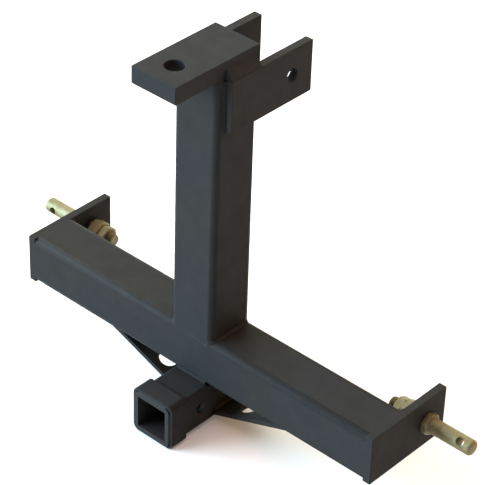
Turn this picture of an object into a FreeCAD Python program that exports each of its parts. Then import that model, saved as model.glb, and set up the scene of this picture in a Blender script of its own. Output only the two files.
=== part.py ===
import FreeCAD, Part
import math
import os
import Sketcher

# Three-point receiver hitch.  Millimetres, +Z up, +X along the crossbar, +Y towards the tractor.
# The origin is on the floor under the middle of the object's box: the receiver's collar stands on Z = 0.
# Every piece is drawn about the crossbar's centre and then placed by the two shifts row_dy and row_dz.

doc = FreeCAD.newDocument("receiver_hitch")
sheet = doc.addObject("Spreadsheet::Sheet", "Sizes")

DIMENSIONS = [
    # alias, value, what it is
    ("row_dy", -6.35, "crossbar centre, Y in the object's frame"),
    ("row_dz", 106.3625, "crossbar centre, Z in the object's frame"),
    ("tube_side", 76.2, "crossbar and mast tube, outside"),
    ("tube_wall", 4.7625, "crossbar and mast tube, wall"),
    ("tube_radius", 9.525, "crossbar and mast tube, outside corner radius"),
    ("bar_length", 615.95, "crossbar tube between the end plates"),
    ("mast_height", 410.7, "mast tube"),
    ("end_thick", 12.7, "end plate thickness"),
    ("end_depth", 152.4, "end plate, along Y"),
    ("stud_y", 76.2, "hitch pin axis behind the crossbar axis"),
    ("stud_bore", 19.21, "bore of the end plate for the pin's threaded part"),
    ("top_thick", 25.4, "top plate thickness"),
    ("top_depth", 152.4, "top plate, along Y"),
    ("ball_bore", 27.0, "vertical hole of the top plate"),
    ("ball_y", -76.2, "vertical hole, Y"),
    ("ear_thick", 12.7, "top link ear thickness"),
    ("ear_depth", 152.4, "top link ear, along Y"),
    ("ear_height", 76.2, "top link ear height"),
    ("ear_front", -25.4, "front edge of the ears, Y"),
    ("link_bore", 19.85, "top link hole"),
    ("link_y", 88.9, "top link hole, Y"),
    ("link_drop", 38.1, "top link hole below the mast's top"),
    ("rec_side", 63.5, "receiver tube, outside"),
    ("rec_open", 50.8, "receiver tube, opening"),
    ("rec_radius", 5.0, "receiver tube, outside corner radius"),
    ("rec_inner_radius", 1.0, "receiver tube, opening corner radius"),
    ("rec_front", -114.3, "receiver mouth, Y"),
    ("rec_length", 152.4, "receiver tube length"),
    ("rec_bore", 16.3, "receiver pin hole"),
    ("rec_bore_y", -50.8, "receiver pin hole, Y"),
    ("collar_side", 73.025, "mouth collar, outside"),
    ("collar_radius", 9.7625, "mouth collar, outside corner radius"),
    ("collar_front", -111.76, "mouth collar, front face, Y"),
    ("collar_length", 29.0, "mouth collar, along Y"),
    ("strap_thick", 6.35, "chain strap thickness"),
    ("strap_width", 50.8, "chain strap width, along Y"),
    ("strap_slope", 20.39, "chain strap slope, degrees"),
    ("strap_low", -95.5, "chain strap's lower face at the receiver's side, Z"),
    ("chain_bore", 27.0, "chain hole"),
    ("chain_along", 51.7, "chain hole from the receiver's side, along the strap"),
    ("stud_thread", 19.05, "hitch pin, threaded part"),
    ("stud_thread_length", 59.0, "hitch pin, threaded part inside the plate's outer face"),
    ("stud_shank", 22.225, "hitch pin, shank"),
    ("stud_reach", 78.1, "hitch pin, from the plate's outer face to the tip"),
    ("stud_round", 2.8, "hitch pin, tip chamfer"),
    ("stud_hex", 28.575, "hitch pin, hex collar across flats"),
    ("stud_hex_thick", 9.525, "hitch pin, hex collar thickness"),
    ("stud_cross", 11.1, "linchpin hole"),
    ("stud_cross_x", 60.3, "linchpin hole from the plate's outer face"),
    ("cross_tilt_right", -44.0, "right linchpin hole, turned about the pin, degrees"),
    ("cross_tilt_left", 0.0, "left linchpin hole, turned about the pin, degrees"),
    ("slack", 0.1, "end play between the clamped stack and the end plate, each side"),
    ("washer_outer", 32.2, "lock washer, outside diameter"),
    ("washer_inner", 19.6, "lock washer, inside diameter"),
    ("washer_thick", 4.7625, "lock washer thickness"),
    ("washer_split", 2.2, "lock washer split"),
    ("nut_hex", 31.75, "hex nut across flats"),
    ("nut_thick", 18.3, "hex nut thickness"),
    ("jam_hex", 28.575, "jam nut across flats"),
    ("jam_thick", 12.2, "jam nut thickness"),
    ("nut_bore", 19.1, "bore of both nuts"),
    ("bead", 4.5, "leg of the larger weld beads"),
    ("bead_small", 2.4, "leg of the weld bead in front of the collar"),
    ("bead_plate", 12.0, "weld beads along the top plate's sides, leg on the ear's upper edge"),
    ("bead_plate_high", 15.0, "weld beads along the top plate's sides, leg up the plate's side"),
]

for row, (alias, value, note) in enumerate(DIMENSIONS, start=1):
    sheet.set("A%d" % row, note)
    sheet.set("B%d" % row, repr(value))
    sheet.setAlias("B%d" % row, alias)
doc.recompute()


class Dim:
    """A number together with the sheet formula it comes from."""

    def __init__(self, text, value):
        self.text = text
        self.value = value

    @staticmethod
    def wrap(other):
        if isinstance(other, Dim):
            return other
        if other < 0:
            return Dim("(0 - %r)" % (-float(other)), float(other))
        return Dim("%r" % float(other), float(other))

    def __add__(self, other):
        other = Dim.wrap(other)
        return Dim("(%s + %s)" % (self.text, other.text), self.value + other.value)

    __radd__ = __add__

    def __sub__(self, other):
        other = Dim.wrap(other)
        return Dim("(%s - %s)" % (self.text, other.text), self.value - other.value)

    def __rsub__(self, other):
        return Dim.wrap(other) - self

    def __mul__(self, other):
        other = Dim.wrap(other)
        return Dim("(%s * %s)" % (self.text, other.text), self.value * other.value)

    __rmul__ = __mul__

    def __truediv__(self, other):
        other = Dim.wrap(other)
        return Dim("(%s / %s)" % (self.text, other.text), self.value / other.value)

    def __neg__(self):
        return Dim("(0 - %s)" % self.text, -self.value)


def d(alias):
    return Dim("Sizes.%s" % alias, float(sheet.get(alias)))


def sin(angle):
    return Dim("sin(%s)" % angle.text, math.sin(math.radians(angle.value)))


def cos(angle):
    return Dim("cos(%s)" % angle.text, math.cos(math.radians(angle.value)))


def tan(angle):
    return Dim("tan(%s)" % angle.text, math.tan(math.radians(angle.value)))


V = FreeCAD.Vector
DY, DZ = d("row_dy"), d("row_dz")
HALF = d("tube_side") / 2
NODES = []


def place(obj, x=0.0, y=0.0, z=0.0, rotation=None):
    """Place a piece: x, y and z are about the crossbar's centre."""
    if rotation is not None:
        obj.Placement = FreeCAD.Placement(V(0, 0, 0), rotation)
    obj.setExpression("Placement.Base.x", Dim.wrap(x).text)
    obj.setExpression("Placement.Base.y", (Dim.wrap(y) + DY).text)
    obj.setExpression("Placement.Base.z", (Dim.wrap(z) + DZ).text)


def make_body(label):
    body = doc.addObject("PartDesign::Body", label)
    body.Label = label
    return body


def origin_plane(body, role):
    for feature in body.Origin.OriginFeatures:
        if feature.Role == role:
            return feature
    raise RuntimeError(role)


def make_sketch(body, name, role, lift=None, tilt=None):
    sketch = body.newObject("Sketcher::SketchObject", name)
    sketch.AttachmentSupport = [(origin_plane(body, role), "")]
    sketch.MapMode = "FlatFace"
    if tilt is not None:
        sketch.AttachmentOffset = FreeCAD.Placement(V(0, 0, 0), FreeCAD.Rotation(V(1, 0, 0), tilt.value))
    if lift is not None:
        sketch.setExpression("AttachmentOffset.Base.z", Dim.wrap(lift).text)
    return sketch


def constrain(sketch, kind, refs, dim, name):
    index = sketch.addConstraint(Sketcher.Constraint(kind, *refs, dim.value))
    sketch.renameConstraint(index, name)
    sketch.setExpression("Constraints." + name, dim.text)


def pin_point(sketch, geo, pos, x, y, name):
    """Hold one sketch point at x, y from the sketch's origin."""
    for axis, dim in (("X", Dim.wrap(x)), ("Y", Dim.wrap(y))):
        if abs(dim.value) < 1e-9:
            sketch.addConstraint(Sketcher.Constraint("PointOnObject", geo, pos, -2 if axis == "X" else -1))
        elif dim.value > 0:
            constrain(sketch, "Distance" + axis, (-1, 1, geo, pos), dim, name + axis)
        else:
            constrain(sketch, "Distance" + axis, (geo, pos, -1, 1), -dim, name + axis)


def polygon(sketch, points):
    """A closed outline through points held to the sheet."""
    points = [(Dim.wrap(x), Dim.wrap(y)) for x, y in points]
    first = sketch.GeometryCount
    count = len(points)
    for i in range(count):
        a, b = points[i], points[(i + 1) % count]
        sketch.addGeometry(Part.LineSegment(V(a[0].value, a[1].value, 0), V(b[0].value, b[1].value, 0)), False)
    for i in range(count):
        sketch.addConstraint(Sketcher.Constraint("Coincident", first + i, 2, first + (i + 1) % count, 1))
    for i, (x, y) in enumerate(points):
        pin_point(sketch, first + i, 1, x, y, "p%d_%d" % (first, i))


def rectangle(sketch, width, height):
    polygon(sketch, [(-width / 2, -height / 2), (width / 2, -height / 2), (width / 2, height / 2), (-width / 2, height / 2)])


def circle(sketch, x, y, diameter, name):
    x, y = Dim.wrap(x), Dim.wrap(y)
    geo = sketch.addGeometry(Part.Circle(V(x.value, y.value, 0), V(0, 0, 1), diameter.value / 2), False)
    if abs(x.value) < 1e-9 and abs(y.value) < 1e-9:
        sketch.addConstraint(Sketcher.Constraint("Coincident", geo, 3, -1, 1))
    else:
        pin_point(sketch, geo, 3, x, y, name + "c")
    constrain(sketch, "Diameter", (geo,), diameter, name + "d")


def rounded_square(sketch, side, radius, name):
    """A square with rounded corners about the sketch's origin: four lines and four tangent arcs."""
    a, r = side.value / 2, radius.value
    first = sketch.GeometryCount
    lines = [((-a + r, -a), (a - r, -a)), ((a, -a + r), (a, a - r)), ((a - r, a), (-a + r, a)), ((-a, a - r), (-a, -a + r))]
    corners = [(a - r, -a + r, -90), (a - r, a - r, 0), (-a + r, a - r, 90), (-a + r, -a + r, 180)]
    for (p, q), (cx, cy, start) in zip(lines, corners):
        sketch.addGeometry(Part.LineSegment(V(p[0], p[1], 0), V(q[0], q[1], 0)), False)
        ring = Part.Circle(V(cx, cy, 0), V(0, 0, 1), r)
        sketch.addGeometry(Part.ArcOfCircle(ring, math.radians(start), math.radians(start + 90)), False)
    for i in range(8):
        sketch.addConstraint(Sketcher.Constraint("Tangent", first + i, 2, first + (i + 1) % 8, 1))
    for i, kind in ((0, "Horizontal"), (2, "Vertical"), (4, "Horizontal"), (6, "Vertical")):
        sketch.addConstraint(Sketcher.Constraint(kind, first + i))
    for i in (3, 5, 7):
        sketch.addConstraint(Sketcher.Constraint("Equal", first + 1, first + i))
    sketch.addConstraint(Sketcher.Constraint("Symmetric", first + 3, 3, first + 7, 3, -1, 1))
    constrain(sketch, "DistanceX", (first + 6, 1, first + 2, 2), side, name + "w")
    constrain(sketch, "DistanceY", (first + 0, 1, first + 4, 2), side, name + "h")
    constrain(sketch, "Radius", (first + 1,), radius, name + "r")


def pad(body, sketch, length, name, both=False, reverse=False):
    feature = body.newObject("PartDesign::Pad", name)
    feature.Profile = sketch
    if both:
        feature.SideType = "Symmetric"
    feature.Reversed = reverse
    feature.setExpression("Length", Dim.wrap(length).text)
    doc.recompute()
    return feature


def pocket(body, sketch, length, name, both=False, reverse=False):
    before = body.Shape.Volume
    feature = body.newObject("PartDesign::Pocket", name)
    feature.Profile = sketch
    if both:
        feature.SideType = "Symmetric"
    feature.Reversed = reverse
    feature.setExpression("Length", Dim.wrap(length).text)
    doc.recompute()
    if not body.Shape.Volume < before - 1e-3:
        raise RuntimeError("%s cuts nothing" % name)
    return feature


def square_tube(label, side, opening, radius, inner_radius, length, role):
    """A tube drawn on one origin plane and padded along its axis from the plane."""
    body = make_body(label)
    outline = make_sketch(body, label + "_outline", role)
    rounded_square(outline, side, radius, "o")
    rounded_square(outline, opening, inner_radius, "i")
    pad(body, outline, length, label + "_wall", reverse=(role == "XZ_Plane"))
    return body


# ---------------------------------------------------------------- crossbar and mast
OPEN = d("tube_side") - 2 * d("tube_wall")
INNER_R = d("tube_radius") - d("tube_wall")

crossbar = square_tube("crossbar_tube", d("tube_side"), OPEN, d("tube_radius"), INNER_R, d("bar_length"), "YZ_Plane")
place(crossbar, x=-d("bar_length") / 2)
NODES.append(crossbar)

mast = square_tube("mast_tube", d("tube_side"), OPEN, d("tube_radius"), INNER_R, d("mast_height"), "XY_Plane")
place(mast, z=HALF)
NODES.append(mast)

# ---------------------------------------------------------------- end plates
# Each plate is flush with the crossbar's front, top and bottom and reaches back past it to carry the hitch pin.
for side, label in ((-1, "end_plate_left"), (1, "end_plate_right")):
    body = make_body(label)
    outline = make_sketch(body, label + "_outline", "YZ_Plane")
    front, rear = -HALF, d("end_depth") - HALF
    polygon(outline, [(front, -HALF), (rear, -HALF), (rear, HALF), (front, HALF)])
    circle(outline, d("stud_y"), 0, d("stud_bore"), "stud")
    pad(body, outline, d("end_thick"), label + "_plate")
    if side > 0:
        place(body, x=d("bar_length") / 2)
    else:
        place(body, x=-d("bar_length") / 2 - d("end_thick"))
    NODES.append(body)

# ---------------------------------------------------------------- top plate
top = make_body("top_plate")
outline = make_sketch(top, "top_plate_outline", "XY_Plane")
polygon(outline, [(-HALF, HALF - d("top_depth")), (HALF, HALF - d("top_depth")), (HALF, HALF), (-HALF, HALF)])
circle(outline, 0, d("ball_y"), d("ball_bore"), "ball")
pad(top, outline, d("top_thick"), "top_plate_slab")
place(top, z=HALF + d("mast_height"))
NODES.append(top)

# ---------------------------------------------------------------- top link ears
MAST_TOP = HALF + d("mast_height")
for side, label in ((-1, "top_link_ear_left"), (1, "top_link_ear_right")):
    body = make_body(label)
    outline = make_sketch(body, label + "_outline", "YZ_Plane")
    front, rear = d("ear_front"), d("ear_front") + d("ear_depth")
    polygon(outline, [(front, -d("ear_height")), (rear, -d("ear_height")), (rear, 0), (front, 0)])
    circle(outline, d("link_y"), -d("link_drop"), d("link_bore"), "link")
    pad(body, outline, d("ear_thick"), label + "_plate")
    place(body, x=HALF if side > 0 else -HALF - d("ear_thick"), z=MAST_TOP)
    NODES.append(body)

# ---------------------------------------------------------------- receiver tube and collar
REC_Z = -HALF - d("rec_side") / 2
receiver = square_tube("receiver_tube", d("rec_side"), d("rec_open"), d("rec_radius"), d("rec_inner_radius"), d("rec_length"), "XZ_Plane")
hole = make_sketch(receiver, "receiver_pin_hole_outline", "YZ_Plane")
circle(hole, d("rec_bore_y") - d("rec_front"), 0, d("rec_bore"), "pin")
pocket(receiver, hole, d("rec_side") * 1.2, "receiver_pin_hole", both=True)
place(receiver, y=d("rec_front"), z=REC_Z)
NODES.append(receiver)

collar = square_tube("receiver_collar", d("collar_side"), d("rec_side"), d("collar_radius"), d("rec_radius"), d("collar_length"), "XZ_Plane")
place(collar, y=d("collar_front"), z=REC_Z)
NODES.append(collar)

# ---------------------------------------------------------------- chain straps
# Flat bars from low on the receiver's sides up to the crossbar's underside, cut to meet both, with one chain hole.
# Each is drawn lying flat: x along the bar from its lower end, z through its thickness.
SLOPE, THICK = d("strap_slope"), d("strap_thick")
STRAP_LENGTH = (-HALF - d("strap_low")) / sin(SLOPE)
for side, label in ((-1, "chain_strap_left"), (1, "chain_strap_right")):
    body = make_body(label)
    profile = make_sketch(body, label + "_side", "XZ_Plane")
    polygon(profile, [(0, 0), (STRAP_LENGTH, 0), (STRAP_LENGTH - THICK / tan(SLOPE), THICK), (THICK * tan(SLOPE), THICK)])
    pad(body, profile, d("strap_width"), label + "_bar", both=True)
    hole = make_sketch(body, label + "_hole_outline", "XY_Plane")
    circle(hole, d("chain_along"), 0, d("chain_bore"), "chain")
    pocket(body, hole, THICK * 2.5, label + "_hole", both=True)
    tilt = FreeCAD.Rotation(V(0, 1, 0), -SLOPE.value)
    if side < 0:
        tilt = FreeCAD.Rotation(V(0, 0, 1), 180).multiply(tilt)
    place(body, x=side * d("rec_side") / 2, z=d("strap_low"), rotation=tilt)
    NODES.append(body)

# ---------------------------------------------------------------- hitch pins
# Drawn along +x from the plate's outer face: thread inwards, hex collar against the plate, shank and linchpin hole outwards.
PLATE_OUT = d("bar_length") / 2 + d("end_thick")
TURN = FreeCAD.Rotation(V(0, 0, 1), 180)


def chamfer_ring(body, hex_size, at, inwards, name):
    """Turn the corners of a hex end down to a 30 degree chamfer."""
    sketch = make_sketch(body, name + "_outline", "XZ_Plane")
    start, stop = hex_size * 0.485, hex_size * 0.66
    depth = (stop - start) * tan(Dim.wrap(30.0))
    at = Dim.wrap(at)
    polygon(sketch, [(at, start), (at + inwards * depth, stop), (at, stop)])
    before = body.Shape.Volume
    groove = body.newObject("PartDesign::Groove", name)
    groove.Profile = sketch
    groove.ReferenceAxis = (sketch, ["H_Axis"])
    groove.Angle = 360
    doc.recompute()
    if not body.Shape.Volume < before - 1e-3:
        raise RuntimeError("%s cuts nothing" % name)


def hexagon(sketch, across):
    """Corners at top and bottom."""
    corner = across / (2 * cos(Dim.wrap(30.0)))
    half = across / 2
    polygon(sketch, [(0, -corner), (half, -corner / 2), (half, corner / 2), (0, corner), (-half, corner / 2), (-half, -corner / 2)])


for side, label, tilt in ((-1, "hitch_pin_left", "cross_tilt_left"), (1, "hitch_pin_right", "cross_tilt_right")):
    body = make_body(label)
    half = make_sketch(body, label + "_half", "XZ_Plane")
    thread_r, shank_r, edge = d("stud_thread") / 2, d("stud_shank") / 2, d("stud_round")
    polygon(half, [
        (-d("stud_thread_length"), 0),
        (-d("stud_thread_length"), thread_r - 1.2),
        (-d("stud_thread_length") + 1.2, thread_r),
        (d("slack"), thread_r),
        (d("slack"), shank_r),
        (d("stud_reach") - edge, shank_r),
        (d("stud_reach"), shank_r - edge),
        (d("stud_reach"), 0)])
    turned = body.newObject("PartDesign::Revolution", label + "_turned")
    turned.Profile = half
    turned.ReferenceAxis = (half, ["H_Axis"])
    turned.Angle = 360
    doc.recompute()
    flats = make_sketch(body, label + "_flats", "YZ_Plane", lift=d("slack"))
    hexagon(flats, d("stud_hex"))
    pad(body, flats, d("stud_hex_thick") - d("slack"), label + "_hex")
    chamfer_ring(body, d("stud_hex"), d("stud_hex_thick"), -1, label + "_hex_chamfer")
    hole = make_sketch(body, label + "_cross_outline", "XZ_Plane", tilt=d(tilt))
    circle(hole, d("stud_cross_x"), 0, d("stud_cross"), "cross")
    pocket(body, hole, d("stud_shank") * 1.3, label + "_cross", both=True)
    place(body, x=side * PLATE_OUT, y=d("stud_y"), rotation=TURN if side < 0 else FreeCAD.Rotation())
    NODES.append(body)

# ---------------------------------------------------------------- lock washers and nuts
# Stacked inwards from the plate's inner face; drawn along +x and turned so that x runs towards the middle.
PLATE_IN = d("bar_length") / 2
for side, tag in ((-1, "left"), (1, "right")):
    inwards = TURN if side > 0 else FreeCAD.Rotation()

    washer = make_body("lock_washer_" + tag)
    ring = make_sketch(washer, "lock_washer_ring_" + tag, "YZ_Plane")
    circle(ring, 0, 0, d("washer_outer"), "outer")
    circle(ring, 0, 0, d("washer_inner"), "inner")
    pad(washer, ring, d("washer_thick"), "lock_washer_pad_" + tag)
    split = make_sketch(washer, "lock_washer_split_outline_" + tag, "YZ_Plane")
    gap = d("washer_split") / 2
    polygon(split, [(-gap, d("washer_inner") / 2 - 2), (gap, d("washer_inner") / 2 - 2), (gap, d("washer_outer") / 2 + 2), (-gap, d("washer_outer") / 2 + 2)])
    pocket(washer, split, d("washer_thick") * 3, "lock_washer_split_" + tag, both=True)
    face = PLATE_IN - d("slack")
    place(washer, x=side * face, y=d("stud_y"), rotation=inwards)
    NODES.append(washer)

    for name, hex_size, thick, offset in (
            ("hitch_nut_" + tag, d("nut_hex"), d("nut_thick"), d("washer_thick")),
            ("jam_nut_" + tag, d("jam_hex"), d("jam_thick"), d("washer_thick") + d("nut_thick"))):
        nut = make_body(name)
        outline = make_sketch(nut, name + "_outline", "YZ_Plane")
        hexagon(outline, hex_size)
        circle(outline, 0, 0, d("nut_bore"), "bore")
        pad(nut, outline, thick, name + "_hex")
        chamfer_ring(nut, hex_size, 0, 1, name + "_chamfer_a")
        chamfer_ring(nut, hex_size, thick, -1, name + "_chamfer_b")
        place(nut, x=side * (face - offset), y=d("stud_y"), rotation=inwards)
        NODES.append(nut)


# ---------------------------------------------------------------- weld beads
# Each bead is a short outline drawn across the seam and drawn out along it; some are then cut to a neighbour's round corner.
def bead(name, points, length, along, x=0.0, y=0.0, z=0.0, cut=None, both=True):
    """points are (u, v) across the seam, in the plane at right angles to `along`, from the point x, y, z.
    along X: u = Y, v = Z.  along Y: u = X, v = Z.  along Z: u = X, v = Y."""
    sketch = doc.addObject("Sketcher::SketchObject", name + "_outline")
    polygon(sketch, points)
    turns = {
        "X": FreeCAD.Rotation(V(0, 1, 0), V(0, 0, 1), V(1, 0, 0), "XYZ"),
        "Y": FreeCAD.Rotation(V(1, 0, 0), V(0, 0, 1), V(0, -1, 0), "XYZ"),
        "Z": FreeCAD.Rotation(),
    }
    place(sketch, x=x, y=y, z=z, rotation=turns[along])
    run = doc.addObject("Part::Extrusion", name)
    run.Base = sketch
    run.DirMode = "Normal"
    run.Solid = True
    run.Symmetric = both
    run.setExpression("LengthFwd", Dim.wrap(length).text)
    doc.recompute()
    if cut is None:
        return run
    trimmed = doc.addObject("Part::Cut", name + "_trimmed")
    trimmed.Base = run
    trimmed.Tool = cut
    doc.recompute()
    return trimmed


def bead_group(label, members):
    group = doc.addObject("Part::Compound", label)
    group.Label = label
    group.Links = members
    doc.recompute()
    NODES.append(group)


LEG = d("bead")
FLAT = d("tube_side") - 2 * d("tube_radius")
RAD = d("tube_radius")


def fillet_points(u_sign, v_sign, leg, bulge=0.18, high=None):
    """A convex bead in the corner at the origin, with legs along u and v; high is the leg along v where the two differ."""
    high = leg if high is None else high
    return [(0, 0), (u_sign * leg, 0), (u_sign * leg * (0.62 + bulge * 0.4), v_sign * high * (0.38 + bulge * 0.4)),
            (u_sign * leg * (0.38 + bulge * 0.4), v_sign * high * (0.62 + bulge * 0.4)), (0, v_sign * high)]


# Mast on the crossbar: a bead at each side, and the grooves over the crossbar's round edges filled flush, front and rear.
members = []
for side, tag in ((-1, "l"), (1, "r")):
    members.append(bead("mast_bead_" + tag, fillet_points(side, 1, LEG), FLAT - 1.0, "Y", x=side * HALF, z=HALF))
    members.append(bead("mast_groove_" + tag, [(0, 0), (0, -RAD), (-side * RAD, 0)],
                        FLAT + 4.0, "X", y=side * HALF, z=HALF, cut=crossbar))
bead_group("weld_mast_base", members)

# Top plate on the mast's front face, and along its sides on the ears' upper edges.
members = [bead("top_bead", fillet_points(-1, -1, LEG), FLAT, "X", y=-HALF, z=MAST_TOP)]
for side, tag in ((-1, "l"), (1, "r")):
    members.append(bead("plate_bead_" + tag, fillet_points(float(side), 1, d("bead_plate"), 0.08, d("bead_plate_high")), HALF - d("ear_front") - 1.0, "Y",
                        x=side * HALF, y=(HALF + d("ear_front")) / 2, z=MAST_TOP))
bead_group("weld_top_plate", members)

# Ears on the mast's sides: down each ear's front edge, along its lower edge, and in the groove behind the mast.
members = []
ear_mid = MAST_TOP - d("ear_height") / 2
for side, tag in ((-1, "l"), (1, "r")):
    s = float(side)
    members.append(bead("ear_front_bead_" + tag,
                        [(-s * 3.0, 0), (s * LEG, 0), (s * LEG * 0.68, -LEG * 0.46), (s * LEG * 0.2, -LEG * 0.95), (-s * 1.0, -LEG * 1.15), (-s * 3.0, -LEG * 0.9)],
                        d("ear_height") - 1.0, "Z", x=side * HALF, y=d("ear_front"), z=ear_mid, cut=mast))
    members.append(bead("ear_lower_bead_" + tag, fillet_points(s, -1, LEG), FLAT - 5.0, "Y",
                        x=side * HALF, y=1.0, z=MAST_TOP - d("ear_height")))
    members.append(bead("ear_rear_bead_" + tag,
                        [(0, 2.0), (0, -RAD), (-s * RAD, -0.2), (-s * 2.4, 0.6)],
                        d("ear_height") - 1.0, "Z", x=side * HALF, y=HALF, z=ear_mid, cut=mast))
bead_group("weld_top_link_ears", members)

# End plates on the crossbar's rear face.
members = []
for side, tag in ((-1, "l"), (1, "r")):
    members.append(bead("end_bead_" + tag, fillet_points(-float(side), 1, LEG), FLAT, "Z", x=side * PLATE_IN, y=HALF))
bead_group("weld_end_plates", members)

# Receiver under the crossbar: the groove along each side, and the one over the receiver in front.
members = []
reach = d("rec_radius")
for side, tag in ((-1, "l"), (1, "r")):
    s = float(side)
    members.append(bead("receiver_groove_" + tag,
                        [(s * 2.5, 0), (s * 1.2, -2.4), (0, -5.0), (-s * 3.0, 1.0 - reach), (-s * reach, -3.0), (-s * reach, 0)],
                        FLAT - 1.0, "Y", x=side * d("rec_side") / 2, z=-HALF, cut=receiver))
members.append(bead("receiver_front_groove", [(0, 0), (0.6, 3.6), (2.4, RAD - 0.5), (RAD - 0.5, 2.4), (RAD - 0.5, 0)],
                    d("rec_side") - 2 * reach, "X", y=-HALF, z=-HALF, cut=crossbar))
bead_group("weld_receiver", members)

# Collar on the receiver tube: four short beads before it and four behind it, on the flats.
members = []
half_rec = d("rec_side") / 2
flat_rec = d("rec_side") - 2 * d("rec_radius")
small = d("bead_small")
rear_leg = LEG * 0.9
for where, y, leg, v in (("front", d("collar_front"), small, -1.0), ("rear", d("collar_front") + d("collar_length"), rear_leg, 1.0)):
    for side, tag in ((-1.0, "l"), (1.0, "r")):
        members.append(bead("collar_%s_%s" % (where, tag), fillet_points(side, v, leg), flat_rec, "Z",
                            x=side * half_rec, y=y, z=REC_Z))
    for side, tag in ((-1.0, "low"), (1.0, "top")):
        members.append(bead("collar_%s_%s" % (where, tag), fillet_points(v, side, leg), flat_rec, "X",
                            y=y, z=REC_Z + side * half_rec))
bead_group("weld_collar", members)

# Chain straps: over the bar at the receiver's side, in the wedge under the crossbar, and outside the bar's upper end.
members = []
inner_top = d("strap_low") + THICK / cos(SLOPE)
outer_x = half_rec + STRAP_LENGTH * cos(SLOPE)
wedge_x = outer_x - THICK / sin(SLOPE)
strap_run = d("strap_width") - 1.6
for side, tag in ((-1, "l"), (1, "r")):
    s = float(side)
    c, k = cos(SLOPE), sin(SLOPE)
    members.append(bead("strap_inner_" + tag,
                        [(0, 0), (s * LEG * c, LEG * k), (s * LEG * 0.72, LEG * 0.72), (s * LEG * 0.4, LEG * 0.95), (0, LEG * 1.1)],
                        strap_run, "Y", x=side * half_rec, z=inner_top))
    members.append(bead("strap_wedge_" + tag,
                        [(0, 0), (-s * LEG * 2.4, 0), (-s * LEG * 2.2 * c, -LEG * 2.2 * k)],
                        strap_run, "Y", x=side * wedge_x, z=-HALF))
    members.append(bead("strap_outer_" + tag,
                        [(0, 0), (s * LEG, 0), (s * LEG * 0.35, -LEG * 0.45), (-s * LEG * 0.75, -LEG * 0.78), (-s * LEG * 1.6 * c, -LEG * 1.6 * k)],
                        strap_run, "Y", x=side * outer_x, z=-HALF))
bead_group("weld_chain_straps", members)

# ---------------------------------------------------------------- checks and export
doc.recompute()
for obj in doc.Objects:
    if "Invalid" in obj.State or "Error" in obj.State:
        raise RuntimeError("%s is %s" % (obj.Name, obj.State))
labels = [node.Label for node in NODES]
if len(set(labels)) != len(labels):
    raise RuntimeError("labels repeat")
os.makedirs("parts", exist_ok=True)
for old in os.listdir("parts"):
    if old.endswith(".step") and old[:-5] not in labels:
        os.remove(os.path.join("parts", old))
low, high = [1e9] * 3, [-1e9] * 3
for node in NODES:
    shape = node.Shape
    if shape.isNull() or not shape.isValid() or not shape.Solids:
        raise RuntimeError("%s has no valid solid" % node.Label)
    box = shape.BoundBox
    for i, (a, b) in enumerate(((box.XMin, box.XMax), (box.YMin, box.YMax), (box.ZMin, box.ZMax))):
        low[i], high[i] = min(low[i], a), max(high[i], b)
    print("%-22s solids %d volume %.1f" % (node.Label, len(shape.Solids), shape.Volume))
    shape.exportStep(os.path.join("parts", node.Label + ".step"))
print("box", [round(v, 3) for v in low], [round(v, 3) for v in high])
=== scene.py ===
import math
import random

import bmesh
import bpy
from mathutils import Matrix, Vector


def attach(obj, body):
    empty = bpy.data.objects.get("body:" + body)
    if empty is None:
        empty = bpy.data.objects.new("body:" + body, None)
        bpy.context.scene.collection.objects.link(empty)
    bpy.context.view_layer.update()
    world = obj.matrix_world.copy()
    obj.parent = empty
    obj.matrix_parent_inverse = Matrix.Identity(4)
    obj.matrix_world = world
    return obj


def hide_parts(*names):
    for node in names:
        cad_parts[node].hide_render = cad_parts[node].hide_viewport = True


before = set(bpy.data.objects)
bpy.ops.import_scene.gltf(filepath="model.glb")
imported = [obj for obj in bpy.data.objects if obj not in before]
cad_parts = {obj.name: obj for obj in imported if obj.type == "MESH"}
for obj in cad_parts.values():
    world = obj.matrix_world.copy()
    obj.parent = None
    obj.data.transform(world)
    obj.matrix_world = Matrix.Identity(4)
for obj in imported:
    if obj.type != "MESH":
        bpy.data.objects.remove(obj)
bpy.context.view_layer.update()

# Lengths below are millimetres about the crossbar's centre, as in the CAD; P() gives metres in the row frame.
ROW_Y, ROW_Z = -6.35, 106.3625


def P(x, y, z):
    return Vector((x, y + ROW_Y, z + ROW_Z)) * 0.001


HALF = 38.1
RADIUS = 9.525
FLAT = 57.15
MAST_TOP = 448.8
EAR_LOW = 372.6
REC_HALF = 31.75
REC_R = 5.0
REC_Z = -69.85
STUD_Y = 76.2
PLATE_IN, PLATE_OUT = 307.975, 320.675
SLOPE = math.radians(20.39)
STRAP_LOW, STRAP_THICK, STRAP_WIDTH = -95.5, 6.35, 50.8


# ------------------------------------------------------------------ camera
right = Vector((0.73848966, 0.67360746, 0.02976614))
up = Vector((-0.40964638, 0.41316390, 0.81331755))
back = Vector((0.53555847, -0.61282019, 0.58105813))
camera_data = bpy.data.cameras.new("camera")
camera = bpy.data.objects.new("camera", camera_data)
bpy.context.scene.collection.objects.link(camera)
turn = Matrix((right, up, back)).transposed().to_4x4()
camera.matrix_world = Matrix.Translation(Vector((1.62674287, -1.79142693, 2.00041863))) @ turn
camera_data.sensor_width = 36.0
camera_data.lens = 160.759
camera_data.clip_start, camera_data.clip_end = 0.1, 200.0
bpy.context.scene.camera = camera


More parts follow.
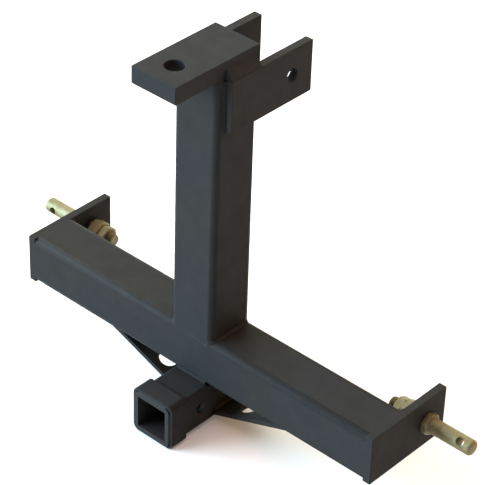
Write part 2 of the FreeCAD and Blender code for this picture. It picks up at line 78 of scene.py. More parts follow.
# ------------------------------------------------------------------ node helpers
class Tree:
    """A few words for building a node tree."""

    def __init__(self, tree):
        self.tree = tree
        tree.nodes.clear()

    def add(self, kind, **settings):
        node = self.tree.nodes.new(kind)
        for key, value in settings.items():
            setattr(node, key, value)
        return node

    def link(self, a, b):
        self.tree.links.new(a, b)

    def noise(self, vector, scale, detail=2.0, rough=0.5, distortion=0.0):
        node = self.add("ShaderNodeTexNoise")
        node.inputs["Scale"].default_value = scale
        node.inputs["Detail"].default_value = detail
        node.inputs["Roughness"].default_value = rough
        node.inputs["Distortion"].default_value = distortion
        self.link(vector, node.inputs["Vector"])
        return node.outputs["Fac"]

    def span(self, value, low, high, to_low=0.0, to_high=1.0, smooth=False):
        node = self.add("ShaderNodeMapRange")
        if smooth:
            node.interpolation_type = "SMOOTHSTEP"
        self.link(value, node.inputs["Value"])
        for name, number in (("From Min", low), ("From Max", high), ("To Min", to_low), ("To Max", to_high)):
            node.inputs[name].default_value = number
        return node.outputs["Result"]

    def math(self, kind, a, b=None, clamp=False):
        node = self.add("ShaderNodeMath", operation=kind)
        node.use_clamp = clamp
        for i, v in enumerate((a, b)):
            if v is None:
                continue
            if isinstance(v, (int, float)):
                node.inputs[i].default_value = v
            else:
                self.link(v, node.inputs[i])
        return node.outputs[0]

    def blend(self, factor, a, b, mode="MIX"):
        node = self.add("ShaderNodeMix", data_type="RGBA")
        node.blend_type = mode
        if isinstance(factor, (int, float)):
            node.inputs["Factor"].default_value = factor
        else:
            self.link(factor, node.inputs["Factor"])
        for socket, v in ((node.inputs[6], a), (node.inputs[7], b)):
            if isinstance(v, tuple):
                socket.default_value = v + (1.0,)
            else:
                self.link(v, socket)
        return node.outputs[2]

    def bump(self, height, strength, distance, normal=None):
        node = self.add("ShaderNodeBump")
        node.inputs["Strength"].default_value = strength
        node.inputs["Distance"].default_value = distance
        self.link(height, node.inputs["Height"])
        if normal is not None:
            self.link(normal, node.inputs["Normal"])
        return node.outputs["Normal"]


def new_material(name):
    material = bpy.data.materials.new(name)
    material.use_nodes = True
    t = Tree(material.node_tree)
    out = t.add("ShaderNodeOutputMaterial")
    shader = t.add("ShaderNodeBsdfPrincipled")
    t.link(shader.outputs[0], out.inputs["Surface"])
    place = t.add("ShaderNodeTexCoord").outputs["Object"]
    return material, t, shader, place


def edge_mask(t, radius, low, high):
    """1 along outside edges, 0 on the flats: how far the rounded normal turns from the true one."""
    rounded = t.add("ShaderNodeBevel", samples=6)
    rounded.inputs["Radius"].default_value = radius
    true = t.add("ShaderNodeNewGeometry").outputs["True Normal"]
    dot = t.add("ShaderNodeVectorMath", operation="DOT_PRODUCT")
    t.link(rounded.outputs[0], dot.inputs[0])
    t.link(true, dot.inputs[1])
    return t.span(dot.outputs["Value"], low, high, 1.0, 0.0, smooth=True)


# ------------------------------------------------------------------ materials
def powder_coat(name, base, grain, rough, mouth=None, painted_corner_shade=0.5):
    """Satin charcoal powder coat: a fine orange peel, faint clouds in tone and gloss, paler along the edges where the
    coat is thinner, with a painted edge highlight, and painted shade darkening recesses and narrow corners.
    mouth is the row Y of an end that a sliding shank has rubbed, painted_corner_shade how dark the painted shade in
    narrow corners goes."""
    material, t, shader, place = new_material(name)
    clouds = t.noise(place, 7.0, 4.0, 0.55)
    patches = t.noise(place, 38.0, 3.0, 0.6)
    specks = t.noise(place, 950.0, 2.0, 0.6)
    cool = (base[0] * 0.95, base[1] * 0.99, base[2] * 1.05)
    warm = (base[0] * 1.05, base[1] * 1.01, base[2] * 0.95)
    tone = t.blend(t.span(clouds, 0.38, 0.62, smooth=True), cool, warm)
    tone = t.blend(t.span(patches, 0.3, 0.7), tone, t.blend(1.0, tone, (0.90, 0.90, 0.90), "MULTIPLY"))
    tone = t.blend(t.span(specks, 0.35, 0.75, 0.0, 0.35), tone, t.blend(1.0, tone, (1.45, 1.45, 1.45), "MULTIPLY"))
    # Paler edges: the thinner coat there, plus a painted highlight along each edge.
    edges = edge_mask(t, 0.0011, 0.90, 0.995)
    worn_and_highlit = t.math("MULTIPLY", edges, t.span(patches, 0.35, 0.65, 0.25, 0.8))
    tone = t.blend(worn_and_highlit, tone, (base[0] * 1.9, base[1] * 1.9, base[2] * 1.9))
    if mouth is not None:
        parts = t.add("ShaderNodeSeparateXYZ")
        t.link(place, parts.inputs[0])
        rubbed = t.span(parts.outputs["Y"], mouth + 0.0011, mouth + 0.0002, smooth=True)
        rubbed = t.math("MULTIPLY", rubbed, t.span(patches, 0.3, 0.6, 0.55, 1.0))
        tone = t.blend(rubbed, tone, (base[0] * 1.3, base[1] * 1.25, base[2] * 1.2))
    # Painted shade: ambient occlusion darkens the colour in recesses, holes and under parts, where shade falls.
    painted_recess_shade = t.add("ShaderNodeAmbientOcclusion", samples=8)
    painted_recess_shade.inputs["Distance"].default_value = 0.035
    tone = t.blend(t.span(painted_recess_shade.outputs["AO"], 0.06, 0.58, 0.95, 0.0), tone, (base[0] * 0.05, base[1] * 0.05, base[2] * 0.05))
    # Painted shade in narrow corners and seams, as deep as painted_corner_shade sets.
    painted_crevice_shade = t.add("ShaderNodeAmbientOcclusion", samples=6)
    painted_crevice_shade.inputs["Distance"].default_value = 0.004
    tone = t.blend(t.span(painted_crevice_shade.outputs["AO"], 0.40, 0.92, painted_corner_shade, 0.0), tone, (base[0] * 0.12, base[1] * 0.12, base[2] * 0.12))
    t.link(tone, shader.inputs["Base Color"])
    t.link(t.math("ADD", t.span(patches, 0.25, 0.75, rough - 0.05, rough + 0.06), t.span(specks, 0.2, 0.8, -0.05, 0.05)),
           shader.inputs["Roughness"])
    shader.inputs["IOR"].default_value = 1.5
    shader.inputs["Specular IOR Level"].default_value = 0.05
    peel = t.noise(place, 430.0, 2.0, 0.45)
    waves = t.noise(place, 70.0, 1.0, 0.4)
    normal = t.bump(peel, 0.35 * grain, 0.00035)
    normal = t.bump(specks, 0.25 * grain, 0.0002, normal)
    normal = t.bump(waves, 0.12 * grain, 0.0012, normal)
    t.link(normal, shader.inputs["Normal"])
    return material


def zinc_plate(name):
    """Pale yellow chromate over zinc, on turned and forged steel: faint lathe rings, cloudy gold and grey, darker in the recesses."""
    material, t, shader, place = new_material(name)
    clouds = t.noise(place, 60.0, 4.0, 0.6, 0.6)
    fine = t.noise(place, 420.0, 3.0, 0.6)
    stretch = t.add("ShaderNodeMapping")
    stretch.inputs["Scale"].default_value = (1.0, 0.03, 0.03)
    t.link(place, stretch.inputs["Vector"])
    rings = t.noise(stretch.outputs[0], 2600.0, 2.0, 0.7)
    tone = t.blend(t.span(clouds, 0.35, 0.65, smooth=True), (0.190, 0.167, 0.082), (0.235, 0.217, 0.134))
    tone = t.blend(t.span(fine, 0.3, 0.75, 0.0, 0.5), tone, (0.135, 0.115, 0.050))
    shade = t.add("ShaderNodeAmbientOcclusion", samples=6)
    shade.inputs["Distance"].default_value = 0.006
    tone = t.blend(t.span(shade.outputs["AO"], 0.25, 0.9, 0.80, 0.0), tone, (0.050, 0.043, 0.018))
    t.link(tone, shader.inputs["Base Color"])
    shader.inputs["Metallic"].default_value = 0.8
    t.link(t.span(fine, 0.25, 0.8, 0.54, 0.70), shader.inputs["Roughness"])
    normal = t.bump(rings, 0.25, 0.00012)
    normal = t.bump(fine, 0.15, 0.0002, normal)
    t.link(normal, shader.inputs["Normal"])
    return material


def dark_spring(name):
    """Oiled black spring steel with a brownish bloom."""
    material, t, shader, place = new_material(name)
    clouds = t.noise(place, 240.0, 3.0, 0.6)
    tone = t.blend(t.span(clouds, 0.35, 0.7, smooth=True), (0.030, 0.029, 0.028), (0.065, 0.056, 0.045))
    tone = t.blend(edge_mask(t, 0.0004, 0.88, 0.99), tone, (0.16, 0.15, 0.14))
    t.link(tone, shader.inputs["Base Color"])
    shader.inputs["Metallic"].default_value = 0.75
    t.link(t.span(clouds, 0.3, 0.7, 0.34, 0.5), shader.inputs["Roughness"])
    t.link(t.bump(t.noise(place, 900.0, 2.0), 0.2, 0.0002), shader.inputs["Normal"])
    return material


PAINT = powder_coat("charcoal_powder_coat", (0.0185, 0.0185, 0.0187), 1.0, 0.58)
WELD_PAINT = powder_coat("charcoal_over_weld", (0.0190, 0.0190, 0.0192), 1.2, 0.60, painted_corner_shade=0.3)
# A paler, cooler copy of the weld paint: painted light that lifts the bead beside the top plate, which falls in shade.
PLATE_WELD_PAINTED_LIGHT = powder_coat("charcoal_over_heavy_weld_painted_light", (0.0222, 0.0236, 0.0250), 1.1, 0.60, painted_corner_shade=0.15)
# A darker copy of the weld paint: painted shade on the beads in the corners at the top-link ears.
EAR_WELD_PAINTED_SHADE = powder_coat("charcoal_over_weld_painted_shade", (0.0135, 0.0134, 0.0132), 1.2, 0.62, painted_corner_shade=0.75)
MOUTH_PAINT = powder_coat("charcoal_rubbed_mouth", (0.0185, 0.0185, 0.0187), 1.0, 0.58, -0.12065)
ZINC = zinc_plate("yellow_zinc")
SPRING = dark_spring("black_spring_steel")


# ------------------------------------------------------------------ carried-over tubes and plates
def dress(node, edge, segments=3, paint=PAINT):
    """A CAD node keeps its mesh; its edges get the small radius that saw, plasma and paint leave."""
    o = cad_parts[node]
    o.material_slots[0].material = paint
    weld = o.modifiers.new("weld", "WELD")
    weld.merge_threshold = 0.00001
    flat = o.modifiers.new("flat", "DECIMATE")
    flat.decimate_type = "DISSOLVE"
    flat.angle_limit = math.radians(0.3)
    bevel = o.modifiers.new("edges", "BEVEL")
    bevel.width = edge
    bevel.segments = segments
    bevel.limit_method = "ANGLE"
    bevel.angle_limit = math.radians(40)
    bevel.harden_normals = True
    bevel.miter_outer = "MITER_ARC"


for node in ("crossbar_tube", "mast_tube"):
    dress(node, 0.00015, 2)
for node in ("end_plate_left", "end_plate_right"):
    dress(node, 0.0014, 4)
for node in ("top_link_ear_left", "top_link_ear_right"):
    dress(node, 0.0009)
dress("top_plate", 0.0012)
for node in ("chain_strap_left", "chain_strap_right"):
    dress(node, 0.0007)
dress("receiver_tube", 0.0006, paint=MOUTH_PAINT)
dress("receiver_collar", 0.0006)


# ------------------------------------------------------------------ pieces made here
def piece(name, build, material, body, nodes, sharp=40.0):
    mesh = bpy.data.meshes.new(name)
    bm = bmesh.new()
    build(bm)
    bmesh.ops.recalc_face_normals(bm, faces=bm.faces)
    for face in bm.faces:
        face.smooth = True
    bm.to_mesh(mesh)
    bm.free()
    mesh.set_sharp_from_angle(angle=math.radians(sharp))
    mesh.materials.append(material)
    o = bpy.data.objects.new(name, mesh)
    bpy.context.scene.collection.objects.link(o)
    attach(o, body)
    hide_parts(*nodes)
    return o


def skin(bm, rings, cap_start=True, cap_end=True, closed=True):
    """Faces between rings of equal length; each ring is a closed loop of points."""
    loops = [[bm.verts.new(p) for p in ring] for ring in rings]
    count = len(loops[0])
    for a, b in zip(loops, loops[1:]):
        for i in range(count if closed else count - 1):
            j = (i + 1) % count
            bm.faces.new((a[i], a[j], b[j], b[i]))
    if cap_start:
        bm.faces.new(loops[0])
    if cap_end:
        bm.faces.new(list(reversed(loops[-1])))
    return loops


# ------------------------------------------------------------------ weld beads
def curve(a, c, b, count=9):
    """Points from toe to toe over the control point."""
    out = []
    for i in range(count):
        t = i / (count - 1)
        out.append(((1 - t) ** 2 * a[0] + 2 * t * (1 - t) * c[0] + t * t * b[0],
                    (1 - t) ** 2 * a[1] + 2 * t * (1 - t) * c[1] + t * t * b[1]))
    return out


def arc(cx, cy, r, start, stop, count=7):
    return [(cx + r * math.cos(math.radians(start + (stop - start) * i / (count - 1))),
             cy + r * math.sin(math.radians(start + (stop - start) * i / (count - 1)))) for i in range(count)]


def bead(bm, origin, along, u, v, outer, root, length, seed, pitch=3.0, depth=0.42, taper=2.4, step=0.5, fade=0.0):
    """A bead along a seam. outer runs from toe to toe and is what shows, root closes the outline in the corner.
    Both ends are rounded over taper; fade is how long it runs out at the far end.
    The ripples are crescents, each with a slow rise and a quick drop, and only ever take material off."""
    rng = random.Random(seed)
    O, A, U, V = (Vector(x) for x in (origin, along, u, v))
    phases = [rng.uniform(0, 6.28) for _ in range(6)]
    shift = rng.uniform(0, 1)
    mid_u = sum(p[0] for p in root) / len(root)
    mid_v = sum(p[1] for p in root) / len(root)
    count = max(8, round(length / step))
    rings = []
    for i in range(count + 1):
        s = length * i / count
        gap = min(s, length - s)
        grow = 1.0
        if taper and gap < taper:
            grow = max(0.12, math.sqrt(max(0.0, 1 - (1 - gap / taper) ** 2)))
        if length - s < fade:
            grow = min(grow, max(0.05, (length - s) / fade))
        sway = 0.5 * math.sin(s * 0.21 + phases[0]) + 0.3 * math.sin(s * 0.47 + phases[1])
        beat = s / pitch + shift + 0.12 * math.sin(s * 0.33 + phases[2])
        ring = []
        for k, (pu, pv) in enumerate(outer):
            t = k / (len(outer) - 1)
            hump = max(0.0, math.sin(math.pi * t)) ** 0.7
            ph = (beat + 0.75 * (2 * t - 1) ** 2) % 1.0
            rise = ph / 0.72 if ph < 0.72 else (1 - ph) / 0.28
            rise = rise * rise * (3 - 2 * rise)
            du, dv = pu - mid_u, pv - mid_v
            size = math.hypot(du, dv) or 1.0
            off = depth * hump * (1 - rise) + 0.12 * depth * hump * (1 + sway)
            scale = 1 - off / size
            toe = 1 - 0.05 * (1 + sway) * (1 - hump)
            f = scale * toe * grow
            ring.append((mid_u + du * f, mid_v + dv * f))
        for pu, pv in root:
            ring.append((mid_u + (pu - mid_u) * (0.3 + 0.7 * grow), mid_v + (pv - mid_v) * (0.3 + 0.7 * grow)))
        at = O + A * (s - length / 2)
        rings.append([P(*(at + U * q[0] + V * q[1])) for q in ring])
    skin(bm, rings)


def fillet(leg, fat=0.64):
    return curve((leg, 0.0), (leg * fat, leg * fat), (0.0, leg))


X, Y, Z = Vector((1, 0, 0)), Vector((0, 1, 0)), Vector((0, 0, 1))
LEG = 4.5
FOOT = 2.6


def mast_base(bm):
    for s in (-1, 1):
        bead(bm, (s * HALF, 0, HALF), Y, X * s, Z, fillet(FOOT), [(0.0, 0.0)], FLAT, 11 + s, taper=0)
        # The groove over the crossbar's round edge, filled and ground flush with both tubes.
        front = s * HALF
        outer = [(0.0, -RADIUS), (0.06, -7.0), (0.10, -5.0), (0.10, -3.0), (0.06, -1.2), (0.0, 0.0)]
        root = arc(RADIUS, -RADIUS, RADIUS, 90, 180)[:-1]
        bead(bm, (0, front, HALF), X, Y * -s, Z, outer, [(RADIUS, 0.0)] + root[1:], FLAT, 21 + s,
             depth=0.05, taper=0, step=2.0)
        wrap(bm, s, -1, 25 + s)
        wrap(bm, s, 1, 27 + s)


def wrap(bm, sx, sy, seed):
    """The bead carried round the mast's corner, from the fillet on its side into the filled groove at its front or rear."""
    rng = random.Random(seed)
    phase = rng.uniform(0, 1)
    rings = []
    for i in range(25):
        a = math.radians(90 * i / 24)
        leg = FOOT * math.cos(a)
        wall = Vector((FLAT / 2 + RADIUS * math.cos(a), -FLAT / 2 - RADIUS * math.sin(a), 0))
        ahead = min(90.0, math.degrees(a) + 9 * math.sin(2 * a))
        low = Vector((wall.x + leg * math.cos(a), -FLAT / 2 - RADIUS * math.sin(math.radians(ahead)),
                      FLAT / 2 + RADIUS * math.cos(math.radians(ahead))))
        high = Vector((wall.x, wall.y, HALF + leg))
        middle = Vector(((low.x + high.x) / 2, (low.y + high.y) / 2, (low.z + high.z) / 2))
        crown = middle + Vector((math.cos(a) * 0.75, -math.sin(a) * 0.75 * math.cos(a), 0.35)) * math.cos(a) ** 0.5 * 1.2
        ring = []
        beat = (i / 24 * RADIUS * math.pi / 2 / 3.0 + phase) % 1.0
        rise = beat / 0.72 if beat < 0.72 else (1 - beat) / 0.28
        for k in range(9):
            u = k / 8
            point = low * (1 - u) ** 2 + crown * 2 * u * (1 - u) + high * u * u
            hump = math.sin(math.pi * u)
            point -= (crown - middle) * 0.5 * hump * (1 - rise)
            ring.append(point)
        ring.append(Vector((wall.x - math.cos(a) * 0.2, wall.y + math.sin(a) * 0.2, HALF + leg)))
        ring.append(Vector((wall.x - math.cos(a), wall.y + math.sin(a), HALF)))
        ring.append(Vector((wall.x - math.cos(a), low.y + 0.3, low.z - 0.3)))
        rings.append([P(sx * p.x, -sy * p.y, p.z) for p in ring])
    skin(bm, rings)


def top_bead(bm):
    bead(bm, (0, -HALF, MAST_TOP), X, -Y, -Z, fillet(LEG), [(0.0, 0.0)], FLAT, 31)
    for s in (-1, 1):
        # A heavy, smooth fillet over the ear's whole upper edge.
        outer = curve((12.0, 0.0), (6.9, 8.7), (0.0, 15.0), 17)
        bead(bm, (s * HALF, 6.35, MAST_TOP), Y, X * s, Z, outer, [(0.0, 0.0)], 62.5, 34 + s, pitch=4.4, depth=0.28, taper=1.8, fade=7.5)


def ear_beads(bm):
    middle = (EAR_LOW + MAST_TOP) / 2
    for s in (-1, 1):
        outer = curve((LEG, 0.0), (3.3, -3.0), (-0.15, -4.9))
        bead(bm, (s * HALF, -25.4, middle), Z, X * s, Y, outer, [(-0.05, -2.6), (0.0, 0.0)], 75.2, 41 + s)
        bead(bm, (s * HALF, 1.0, EAR_LOW), Y, X * s, -Z, fillet(LEG), [(0.0, 0.0)], FLAT - 5.0, 51 + s)
        outer = curve((0.0, 2.0), (-3.4, 0.4), (-RADIUS, -0.15))
        root = [(x, y) for x, y in arc(-RADIUS, -RADIUS, RADIUS, 80, 5)]
        bead(bm, (s * HALF, HALF, middle), Z, X * s, Y, outer, root + [(0.0, -RADIUS)], 75.2, 61 + s, taper=0)


def end_beads(bm):
    for s in (-1, 1):
        bead(bm, (s * PLATE_IN, HALF, 0), Z, X * -s, Y, fillet(LEG), [(0.0, 0.0)], FLAT, 71 + s, taper=0)
        for face in (-1, 1):
            round_edge(bm, s, face, 75 + 2 * s + face)
        # The butt seam on the other sides is filled and ground flush.
        flush = [(-1.9, -0.12), (-1.4, 0.0), (-0.5, 0.035), (0.5, 0.035), (1.4, 0.0), (1.9, -0.12)]
        for v, along in ((Z, Y), (-Z, Y), (-Y, Z)):
            bead(bm, (s * PLATE_IN, v.y * HALF, v.z * HALF), along, X, v, flush, [(0.9, -0.9), (-0.9, -0.9)], FLAT, 171 + s,
                 depth=0.02, taper=0, step=3.0)


def round_edge(bm, side, face, seed):
    """The fillet between crossbar and end plate, carried over the crossbar's round rear edge and running out as the two come flush."""
    phase = random.Random(seed).uniform(0, 1)
    rings = []
    for i in range(33):
        a = math.radians(10 + 80 * i / 32)
        outwards = Vector((0, math.sin(a), face * math.cos(a)))
        inwards = X * -side
        root = Vector((side * PLATE_IN, FLAT / 2, face * FLAT / 2)) + outwards * RADIUS
        leg = min(LEG, 0.93 * RADIUS * (1 - math.cos(a)) / max(math.cos(a), 0.01))
        beat = (RADIUS * a / 3.0 + phase) % 1.0
        rise = beat / 0.72 if beat < 0.72 else (1 - beat) / 0.28
        ring = []
        for u, v in fillet(leg):
            hump = max(0.0, math.sin(math.pi * v / leg)) if leg else 0.0
            off = 1 - 0.42 * min(1.0, leg / LEG) * hump * (1 - rise) / leg
            ring.append(root + inwards * (u * off) + outwards * (v * off))
        ring.append(root - outwards * 0.05)
        rings.append([P(*p) for p in ring])
    skin(bm, rings)


def receiver_beads(bm):
    for s in (-1, 1):
        outer = curve((2.5, 0.0), (0.6, -2.6), (0.0, -5.0))
        root = [(x, y) for x, y in arc(-REC_R, -REC_R, REC_R, 5, 80)]
        bead(bm, (s * REC_HALF, 0, -HALF), Y, X * s, Z, outer, root + [(-REC_R, 0.0)], FLAT - 1.0, 81 + s, taper=0)
    outer = curve((0.0, 0.0), (0.2, 4.8), (2.0, 6.7))
    root = [(x, y) for x, y in arc(RADIUS, RADIUS, RADIUS, 195, 262, 7)]
    bead(bm, (0, -HALF, -HALF), X, Y, Z, outer, root + [(RADIUS - 0.5, 0.0)], 2 * (REC_HALF - REC_R), 91, taper=0, depth=0.3)


def collar_beads(bm):
    flat = 2 * (REC_HALF - REC_R)
    seed = 100
    for y, leg, v in ((-111.76, 2.4, -1), (-82.76, 4.05, 1)):
        for s in (-1, 1):
            seed += 3
            bead(bm, (s * REC_HALF, y, REC_Z), Z, X * s, Y * v, fillet(leg), [(0.0, 0.0)], flat, seed, pitch=2.4, depth=0.25 if leg < 3 else 0.4, taper=1.6)
            bead(bm, (0, y, REC_Z + s * REC_HALF), X, Z * s, Y * v, fillet(leg), [(0.0, 0.0)], flat, seed + 1, pitch=2.4, depth=0.25 if leg < 3 else 0.4, taper=1.6)


def strap_beads(bm):
    c, k = math.cos(SLOPE), math.sin(SLOPE)
    inner_top = STRAP_LOW + STRAP_THICK / c
    length = (-HALF - STRAP_LOW) / k
    outer_x = REC_HALF + length * c
    wedge_x = outer_x - STRAP_THICK / k
    run = STRAP_WIDTH - 1.6
    for s in (-1, 1):
        bead(bm, (s * REC_HALF, 0, inner_top), Y, X * s, Z,
             curve((LEG * c, LEG * k), (LEG * 0.78, LEG * 0.98), (0.0, LEG * 1.1)), [(0.0, 0.0)], run, 131 + s)
        bead(bm, (s * wedge_x, 0, -HALF), Y, X * -s, Z,
             curve((LEG * 2.4, 0.0), (LEG * 2.2, -LEG * 0.35), (LEG * 2.2 * c, -LEG * 2.2 * k)), [(0.0, 0.0)], run, 141 + s)
        bead(bm, (s * outer_x, 0, -HALF), Y, X * s, Z,
             curve((LEG, 0.0), (LEG * 0.2, -LEG * 0.75), (-LEG * 1.6 * c, -LEG * 1.6 * k)), [(-0.2, -0.05), (0.0, 0.0)], run, 151 + s)


for name, build, node, paint in (
        ("bead_mast_base", mast_base, "weld_mast_base", WELD_PAINT),
        ("bead_top_plate", top_bead, "weld_top_plate", PLATE_WELD_PAINTED_LIGHT),
        ("bead_top_link_ears", ear_beads, "weld_top_link_ears", EAR_WELD_PAINTED_SHADE),
        ("bead_end_plates", end_beads, "weld_end_plates", WELD_PAINT),
        ("bead_receiver", receiver_beads, "weld_receiver", WELD_PAINT),
        ("bead_collar", collar_beads, "weld_collar", WELD_PAINT),
        ("bead_chain_straps", strap_beads, "weld_chain_straps", WELD_PAINT)):
    piece(name, build, paint, "frame", [node], sharp=60.0)


# ------------------------------------------------------------------ hitch pins, nuts and lock washers
def hex_radius(across, angle, trim=1.149):
    """Radius of a hexagon with corners at top and bottom; the corners are trimmed as a cold-formed hex is."""
    a = (math.degrees(angle) + 30) % 60 - 30
    return min(across / 2 / math.cos(math.radians(a)), across / 2 * trim)


def around(side, x, radius, angle):
    """A point x outwards from the plate's outer face, turned about the hitch pin's axis."""
    return P(side * (PLATE_OUT + x), STUD_Y + radius * math.cos(angle), radius * math.sin(angle))


def lathe(bm, side, rows, count):
    """rows are (x, radius or function of the angle giving (x, radius)); the ends are closed."""
    angles = [2 * math.pi * i / count for i in range(count)]
    rings = []
    for row in rows:
        if callable(row):
            rings.append([around(side, *row(a), a) for a in angles])
        else:
            rings.append([around(side, row[0], row[1], a) for a in angles])
    return skin(bm, rings)


THREAD_END, THREAD_SHOWN = -59.0, -46.8
PITCH, DEEP = 2.54, 1.45


def thread_radius(x, angle):
    ph = ((x - THREAD_END) / PITCH - angle / (2 * math.pi)) % 1.0
    tooth = min(ph, 1 - ph) * 2
    r = 9.525 - DEEP * min(1.0, max(0.0, (tooth - 0.14) / 0.66))
    hidden = max(0.0, min(1.0, (x - (THREAD_SHOWN - 1.2)) / 1.2))
    r = r + (9.525 - r) * hidden
    return min(r, 8.05 + (x - THREAD_END) * 1.1)


def hitch_pin(side, tilt):
    across, thick, shank, reach = 28.575, 9.525, 11.1125, 78.1

    def build(bm):
        count = 96
        rows = [(THREAD_END, 0.9), (THREAD_END, 4.5), (THREAD_END, 7.6)]
        steps = round((THREAD_SHOWN - THREAD_END) / 0.2)
        for i in range(steps + 1):
            x = THREAD_END + 0.02 + (THREAD_SHOWN - THREAD_END - 0.02) * i / steps
            rows.append(lambda a, x=x: (x, thread_radius(x, a)))
        rows += [(-30.0, 9.525), (0.1, 9.525)]
        face = across * 0.485
        rows += [(0.1, 13.0), lambda a: (0.1, hex_radius(across, a) - 0.35), lambda a: (0.25, hex_radius(across, a) - 0.1),
                 lambda a: (0.5, hex_radius(across, a))]
        slope = math.tan(math.radians(30))
        rows += [lambda a: (thick - max(0.0, hex_radius(across, a) - face) * slope, hex_radius(across, a)),
                 lambda a: (thick - max(0.0, hex_radius(across, a) - face) * slope * 0.5, (hex_radius(across, a) + face) / 2),
                 (thick - 0.04, face), (thick, face - 0.3), (thick, 12.2), (thick + 0.06, 11.55), (thick + 0.32, 11.2), (thick + 0.75, shank)]
        for i in range(1, 9):
            rows.append((thick + 0.75 + (60.3 - 7.5 - thick - 0.75) * i / 8, shank))
        for i in range(1, 13):
            rows.append((60.3 - 7.5 + 15.0 * i / 12, shank))
        rows += [(71.0, shank), (73.4, shank)]
        for i in range(1, 13):
            u = math.radians(90 * i / 12)
            rows.append((73.4 + 4.7 * math.sin(u) ** 1.05, 5.4 + (shank - 5.4) * math.cos(u)))
        rows += [(78.1, 3.0), (78.1, 0.9)]
        lathe(bm, side, rows, count)

    name = "hitch_pin_%s_turned" % ("left" if side < 0 else "right")
    body = "left_pin" if side < 0 else "right_pin"
    node = "hitch_pin_left" if side < 0 else "hitch_pin_right"
    o = piece(name, build, ZINC, body, [node], sharp=35.0)

    # The linchpin hole, with a deburred rim.
    drill_mesh = bpy.data.meshes.new("drill")
    bm = bmesh.new()
    turned = math.radians(tilt)
    direction = Vector((0, math.cos(turned), math.sin(turned)))
    centre = P(side * (PLATE_OUT + 60.3), STUD_Y, 0)
    other = direction.cross(Vector((1, 0, 0)))
    rings = []
    for along, radius in ((-16.0, 8.35), (-9.6, 5.55), (9.6, 5.55), (16.0, 8.35)):
        rings.append([centre + (direction * along + (Vector((1, 0, 0)) * math.cos(2 * math.pi * i / 64) + other * math.sin(2 * math.pi * i / 64)) * radius) * 0.001
                      for i in range(64)])
    skin(bm, rings)
    bmesh.ops.recalc_face_normals(bm, faces=bm.faces)
    bm.to_mesh(drill_mesh)
    bm.free()
    drill = bpy.data.objects.new("drill", drill_mesh)
    bpy.context.scene.collection.objects.link(drill)
    cut = o.modifiers.new("hole", "BOOLEAN")
    cut.operation = "DIFFERENCE"
    cut.object = drill
    cut.solver = "EXACT"
    bpy.context.view_layer.update()
    done = bpy.data.meshes.new_from_object(o.evaluated_get(bpy.context.evaluated_depsgraph_get()))
    o.modifiers.clear()
    o.data = done
    for polygon in done.polygons:
        polygon.use_smooth = True
    done.set_sharp_from_angle(angle=math.radians(35))
    bpy.data.objects.remove(drill)
    return o


def nut(side, name, node, across, thick, start, seed):
    """start is how far the nut's outer side lies inwards from the plate's outer face."""
    bore, face = 9.6, across * 0.485
    slope = math.tan(math.radians(30))

    def build(bm):
        def cone(end):
            def row(a):
                r = hex_radius(across, a)
                inset = max(0.0, r - face) * slope
                return (-start - (inset if end == 0 else thick - inset), r)
            return row

        def cone_half(end):
            def row(a):
                r = hex_radius(across, a)
                inset = max(0.0, r - face) * slope * 0.45
                return (-start - (inset if end == 0 else thick - inset), face + (r - face) * 0.5)
            return row

        rows = [(-start - 1.0, bore), (-start - 0.15, bore + 0.75), (-start, bore + 0.95), (-start, face - 0.5), (-start - 0.05, face),
                cone_half(0), cone(0), cone(1), cone_half(1),
                (-start - thick + 0.05, face), (-start - thick, face - 0.5), (-start - thick, bore + 0.95), (-start - thick + 0.15, bore + 0.75), (-start - thick + 1.0, bore)]
        angles = [2 * math.pi * i / 96 for i in range(96)]
        rings = [[around(side, *(row(a) if callable(row) else row), a) for a in angles] for row in rows]
        loops = skin(bm, rings, cap_start=False, cap_end=False)
        for i in range(96):
            j = (i + 1) % 96
            bm.faces.new((loops[-1][i], loops[-1][j], loops[0][j], loops[0][i]))

    return piece(name, build, ZINC, "left_pin" if side < 0 else "right_pin", [node], sharp=22.0)


def lock_washer(side, name, node):
    """A split spring washer with rounded edges; the cut is slanted."""
    inner, outer, thick, start = 9.8, 16.1, 4.7625, 12.8
    corner = 0.55
    profile = []
    for x0, r0, sx, sr, flip in ((0, outer, -1, -1, 0), (-thick, outer, 1, -1, 1), (-thick, inner, 1, 1, 0), (0, inner, -1, 1, 1)):
        pts = []
        for i in range(4):
            a = math.radians(30 * i)
            pts.append((x0 + sx * corner * (1 - math.cos(a)), r0 + sr * corner * (1 - math.sin(a))))
        profile += pts if flip == 0 else list(reversed(pts))

    def build(bm):
        rings = []
        count = 120
        for i in range(count + 1):
            ring = []
            for x, r in profile:
                gap = 1.1 / r
                slant = 0.45 * (x + thick / 2) / r
                low = math.pi / 2 + gap + slant
                high = math.pi / 2 + 2 * math.pi - gap + slant
                a = low + (high - low) * i / count
                ring.append(around(side, x - start, r, a))
            rings.append(ring)
        skin(bm, rings)

    return piece(name, build, SPRING, "left_pin" if side < 0 else "right_pin", [node], sharp=35.0)


for side, tag, tilt in ((-1, "left", 0.0), (1, "right", -44.0)):
    hitch_pin(side, tilt)
    lock_washer(side, "lock_washer_%s_split" % tag, "lock_washer_" + tag)
    nut(side, "hitch_nut_%s_hex" % tag, "hitch_nut_" + tag, 31.75, 18.3, 12.8 + 4.7625, 5)
    nut(side, "jam_nut_%s_hex" % tag, "jam_nut_" + tag, 28.575, 12.2, 12.8 + 4.7625 + 18.3, 6)


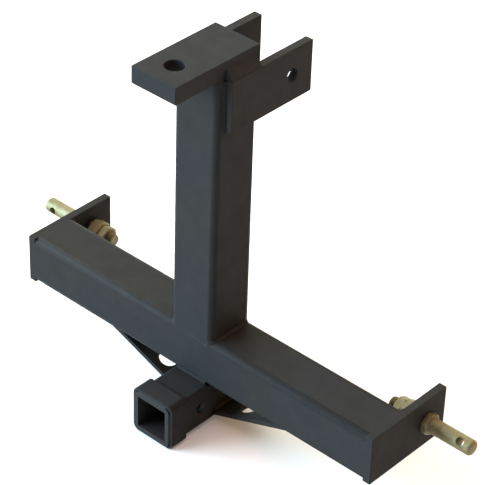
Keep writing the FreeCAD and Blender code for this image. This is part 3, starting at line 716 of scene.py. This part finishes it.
# ------------------------------------------------------------------ floor, world and lights
def make_floor():
    mesh = bpy.data.meshes.new("floor")
    bm = bmesh.new()
    corners = [bm.verts.new((x, y, -0.0002)) for x, y in ((-60, -60), (60, -60), (60, 60), (-60, 60))]
    bm.faces.new(corners)
    bm.to_mesh(mesh)
    bm.free()
    material = bpy.data.materials.new("pale_floor")
    material.use_nodes = True
    t = Tree(material.node_tree)
    out = t.add("ShaderNodeOutputMaterial")
    matt = t.add("ShaderNodeBsdfPrincipled")
    matt.inputs["Base Color"].default_value = (0.76, 0.76, 0.76, 1)
    matt.inputs["Roughness"].default_value = 1.0
    matt.inputs["Specular IOR Level"].default_value = 0.0
    matt.inputs["Emission Color"].default_value = (1.0, 0.95, 0.92, 1)
    matt.inputs["Emission Strength"].default_value = 0.09
    clear = t.add("ShaderNodeBsdfTransparent")
    pick = t.add("ShaderNodeMixShader")
    t.link(t.add("ShaderNodeNewGeometry").outputs["Backfacing"], pick.inputs[0])
    t.link(matt.outputs[0], pick.inputs[1])
    t.link(clear.outputs[0], pick.inputs[2])
    t.link(pick.outputs[0], out.inputs["Surface"])
    mesh.materials.append(material)
    o = bpy.data.objects.new("floor", mesh)
    bpy.context.scene.collection.objects.link(o)


make_floor()

world = bpy.data.worlds.new("studio")
bpy.context.scene.world = world
world.use_nodes = True
t = Tree(world.node_tree)
out = t.add("ShaderNodeOutputWorld")
seen = t.add("ShaderNodeBackground")
seen.inputs["Color"].default_value = (1, 1, 1, 1)
seen.inputs["Strength"].default_value = 1.0
room = t.add("ShaderNodeBackground")
direction = t.add("ShaderNodeTexCoord").outputs["Generated"]


def toward(azimuth, elevation):
    """azimuth 0 is -Y, 90 is +X."""
    a, e = math.radians(azimuth), math.radians(elevation)
    return Vector((math.sin(a) * math.cos(e), -math.cos(a) * math.cos(e), math.sin(e)))


def panel(azimuth, elevation, colour):
    """A broad soft panel of light in the room, brightest at its middle."""
    lean = t.add("ShaderNodeVectorMath", operation="DOT_PRODUCT")
    t.link(direction, lean.inputs[0])
    lean.inputs[1].default_value = toward(azimuth, elevation)
    fall = t.math("POWER", t.math("MAXIMUM", lean.outputs["Value"], 0.0), 6.0)
    tint = t.add("ShaderNodeVectorMath", operation="SCALE")
    tint.inputs[0].default_value = colour
    t.link(fall, tint.inputs["Scale"])
    return tint.outputs[0]


light = None
for azimuth, elevation, colour in ((-120, 12, (6.4, 6.8, 5.6)), (0, 90, (3.6, 2.8, 2.6))):
    lit = panel(azimuth, elevation, colour)
    if light is not None:
        both = t.add("ShaderNodeVectorMath", operation="ADD")
        t.link(light, both.inputs[0])
        t.link(lit, both.inputs[1])
        lit = both.outputs[0]
    light = lit
t.link(light, room.inputs["Color"])
which = t.add("ShaderNodeMixShader")
t.link(t.add("ShaderNodeLightPath").outputs["Is Camera Ray"], which.inputs[0])
t.link(room.outputs[0], which.inputs[1])
t.link(seen.outputs[0], which.inputs[2])
t.link(which.outputs[0], out.inputs["Surface"])


def sun(name, azimuth, elevation, colour, angle):
    data = bpy.data.lights.new(name, "SUN")
    data.energy = math.pi * max(colour)
    data.color = [c / max(colour) for c in colour]
    data.angle = math.radians(angle)
    o = bpy.data.objects.new(name, data)
    o.rotation_mode = "QUATERNION"
    o.rotation_quaternion = toward(azimuth, elevation).to_track_quat("Z", "Y")
    o.location = toward(azimuth, elevation) * 3
    bpy.context.scene.collection.objects.link(o)


sun("key", -50, 8, (3.30, 4.55, 5.40), 60)
sun("rim", 150, 20, (0.52, 0.29, 0.08), 30)

view = bpy.context.scene.view_settings
view.view_transform = "Standard"
view.look = "None"
view.exposure = 0.0
view.gamma = 1.0
